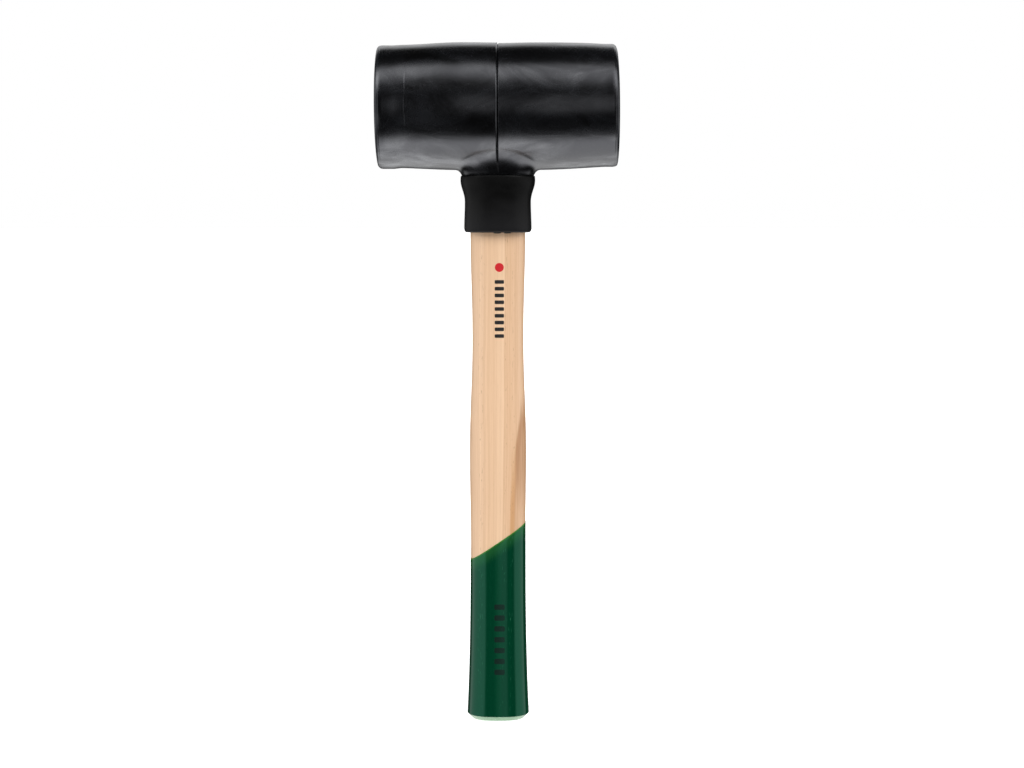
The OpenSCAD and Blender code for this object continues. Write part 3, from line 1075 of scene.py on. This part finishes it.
class MALLET_OT_handle(bpy.types.Operator):
    """Adds the hickory handle; the wedge comes first, because its kerf is cut with it"""

    bl_idname = "mallet.handle"
    bl_label = "Hickory Handle"

    def execute(self, context):
        s = context.scene.mallet_handle
        half = handle_width(0.0, s) / 2
        base = HANDLE_LOW.z
        butt = [(half * k, half * k * s.depth_ratio, base) for k in (0.35, 0.65)]
        butt += [(half - s.chamfer, half * s.depth_ratio - s.chamfer, base)]
        rows = butt + [handle_row(z, s) for z in steps(s.chamfer, SLEEVE_LOW.z, 126)]
        rows += [handle_row(z, s) for z in steps(SLEEVE_LOW.z, HEAD_LOW.z, 14)[1:]]
        rows += [(*handle_row(HEAD_LOW.z, s)[:2], z) for z in steps(HEAD_LOW.z, HANDLE_HIGH.z, 8)[1:]]
        finish = clear_hickory(s)
        piece = lofted("hickory_handle", capped(rows), finish, s.squareness)
        tidy(piece)
        cut_away(piece, bpy.data.objects["blind_wedge"])
        tidy(piece, 35.0)
        enlist(piece, "handle")
        return {"FINISHED"}


class MALLET_OT_grip(bpy.types.Operator):
    """Adds the dipped green lacquer over the grip"""

    bl_idname = "mallet.grip"
    bl_label = "Grip Lacquer"

    def execute(self, context):
        s, handle = context.scene.mallet_grip, context.scene.mallet_handle
        half = handle_width(0.0, handle) / 2
        flat_w, flat_d = half - handle.chamfer, half * handle.depth_ratio - handle.chamfer
        outer = [(flat_w * k, flat_d * k, 0.0) for k in (0.35, 0.65, 0.9)]
        for out, up in ((0.02 * MM, 0.03 * MM), (LACQUER, 0.2 * MM)):
            outer.append((flat_w + out, flat_d + out, up))
        outer += [handle_row(handle.chamfer - LACQUER, handle, 0.0)]
        heights = steps(handle.chamfer, s.edge_z - 0.3 * MM, 52)
        outer += [handle_row(z, handle, s.thickness) for z in heights]
        rim = [handle_row(s.edge_z - 0.08 * MM, handle, 0.75 * s.thickness),
               handle_row(s.edge_z, handle, 0.35 * s.thickness)]
        inner = [handle_row(z, handle, HAIR) for z in [s.edge_z - 0.02 * MM] + heights[::-1]]
        inside = [(flat_w, flat_d, s.thickness - HAIR)]
        profile = capped(outer + rim + inner + inside)
        piece = lofted("green_grip", profile, green_lacquer(s), handle.squareness,
                       **{"Slant": s.slant, "Slant Start": 62 * MM, "Slant End": s.edge_z})
        tidy(piece, 40.0)
        enlist(piece, "grip_lacquer")
        return {"FINISHED"}


class MALLET_OT_stage(bpy.types.Operator):
    """Adds the camera, the white studio and the pale floor"""

    bl_idname = "mallet.stage"
    bl_label = "Studio"

    def camera(self, context, s):
        data = bpy.data.cameras.new("studio_camera")
        data.lens = s.lens
        camera = bpy.data.objects.new("studio_camera", data)
        camera.location = (s.aside, -s.distance, s.height)
        camera.rotation_euler = (math.pi / 2 - s.pitch, 0.0, 0.0)
        context.scene.collection.objects.link(camera)
        context.scene.camera = camera

    def world(self, context):
        """White behind and below, dark in front, with soft boxes above, at the sides and ahead."""
        world = bpy.data.worlds.new("white_studio")
        world.use_nodes = True
        tree = world.node_tree
        tree.nodes.clear()
        x, y, z = split(tree, node(tree, "ShaderNodeTexCoord").outputs["Generated"])
        ahead = times(tree, y, -1.0)
        rise = times(tree, calc(tree, "ARCTAN2", z, ahead), 180 / math.pi)
        side = times(tree, calc(tree, "ARCTAN2", x, ahead), 180 / math.pi)

        def band(value, low, high, soft):
            return times(tree, ramp(tree, value, low - soft, low + soft),
                         ramp(tree, value, high + soft, high - soft))

        below = times(tree, ramp(tree, rise, -56.0, -73.0), ramp(tree, rise, -172.0, -140.0))
        below = times(tree, below, ramp(tree, rise, -182.0, -76.0, False))
        leaning = plus(tree, rise, times(tree, x, 50.0))
        above = times(tree, ramp(tree, leaning, 35.0, 61.0), ramp(tree, rise, 83.0, 71.0))
        middle = band(x, -0.5, 0.5, 0.15)
        slanted = plus(tree, side, times(tree, z, 33.0))
        left_card = times(tree, ramp(tree, slanted, -28.8, -36.8), ramp(tree, side, -134.0, -112.0))
        cards = [
            (3.9, times(tree, below, middle)),
            (1.0, times(tree, band(rise, 136.0, 166.0, 6.0), middle)),
            (2.4, times(tree, above, band(x, -0.6, 0.6, 0.1))),
            (1.10, times(tree, left_card, band(z, -0.5, 0.5, 0.1))),
            (1.05, times(tree, band(side, 42.0, 112.0, 5.0), band(z, -0.5, 0.5, 0.1))),
            (0.95, times(tree, band(side, -0.5, 14.5, 2.5), band(z, -0.22, 0.24, 0.12))),
            (4.4, times(tree, band(side, 24.0, 70.0, 6.0), band(z, 0.5, 0.85, 0.06))),
            (4.4, times(tree, band(side, -70.0, -24.0, 6.0), band(z, 0.5, 0.85, 0.06))),
        ]
        total = 0.012
        for strength, mask in cards:
            total = plus(tree, total, times(tree, mask, strength))
        studio = node(tree, "ShaderNodeBackground", {"Strength": total})
        studio.inputs["Color"].default_value = (1.0, 1.0, 1.0, 1.0)
        backdrop = node(tree, "ShaderNodeBackground", {"Strength": 1.0})
        backdrop.inputs["Color"].default_value = (1.0, 1.0, 1.0, 1.0)
        seen = node(tree, "ShaderNodeLightPath").outputs["Is Camera Ray"]
        chosen = node(tree, "ShaderNodeMixShader", {0: seen, 1: studio.outputs[0], 2: backdrop.outputs[0]})
        node(tree, "ShaderNodeOutputWorld", {"Surface": chosen.outputs[0]})
        context.scene.world = world

    def floor(self, s):
        """A pale floor that only the camera sees, so that the light from below isn't blocked."""
        reach = 40.0
        mesh = bpy.data.meshes.new("studio_floor")
        corners = [(-reach, -reach, 0), (reach, -reach, 0), (reach, reach, 0), (-reach, reach, 0)]
        mesh.from_pydata(corners, [], [(0, 1, 2, 3)])
        floor = new_piece("studio_floor", mesh)
        material, tree, shader, place = new_material("Studio Floor")
        mottle = noise_at(tree, place, 3.0)
        paper = blend_colour(tree, mottle, s.floor, (0.93, 0.93, 0.93))
        plug(tree, shader.inputs["Base Color"], paper)
        shader.inputs["Roughness"].default_value = 0.9
        plug(tree, shader.inputs["Emission Color"], paper)
        shader.inputs["Emission Strength"].default_value = 0.85
        mesh.materials.append(material)
        for ray in ("diffuse", "glossy", "transmission", "volume_scatter", "shadow"):
            setattr(floor, "visible_" + ray, False)

    def execute(self, context):
        s = context.scene.mallet_stage
        context.scene.view_settings.view_transform = "Standard"
        self.camera(context, s)
        self.world(context)
        self.floor(s)
        return {"FINISHED"}


OPERATORS = (
    MALLET_OT_stage, MALLET_OT_head, MALLET_OT_sleeve, MALLET_OT_bond,
    MALLET_OT_socket, MALLET_OT_handle, MALLET_OT_grip,
)
SETTINGS = {
    "mallet_head": MalletHeadSettings,
    "mallet_sleeve": MalletSleeveSettings,
    "mallet_handle": MalletHandleSettings,
    "mallet_grip": MalletGripSettings,
    "mallet_stage": MalletStageSettings,
}


class MALLET_PT_sidebar(bpy.types.Panel):
    """Lists the mallet's pieces and their settings"""

    bl_idname = "MALLET_PT_sidebar"
    bl_label = "Rubber Mallet"
    bl_space_type = "VIEW_3D"
    bl_region_type = "UI"
    bl_category = "Mallet"

    def draw(self, context):
        for operator in OPERATORS:
            self.layout.operator(operator.bl_idname)
        for name, settings in SETTINGS.items():
            box = self.layout.box()
            box.label(text=settings.__doc__)
            for key in settings.__annotations__:
                box.prop(getattr(context.scene, name), key)


def register():
    for kind in (*SETTINGS.values(), *OPERATORS, MALLET_PT_sidebar):
        bpy.utils.register_class(kind)
    for name, settings in SETTINGS.items():
        setattr(bpy.types.Scene, name, PointerProperty(type=settings))


def unregister():
    for name in SETTINGS:
        delattr(bpy.types.Scene, name)
    for kind in (MALLET_PT_sidebar, *reversed(OPERATORS), *reversed(SETTINGS.values())):
        bpy.utils.unregister_class(kind)


def main():
    register()
    bpy.ops.mallet.stage()
    bpy.ops.mallet.head()
    bpy.ops.mallet.sleeve()
    bpy.ops.mallet.bond()
    bpy.ops.mallet.socket()
    bpy.ops.mallet.handle()
    bpy.ops.mallet.grip()


if __name__ == "__main__":
    main()
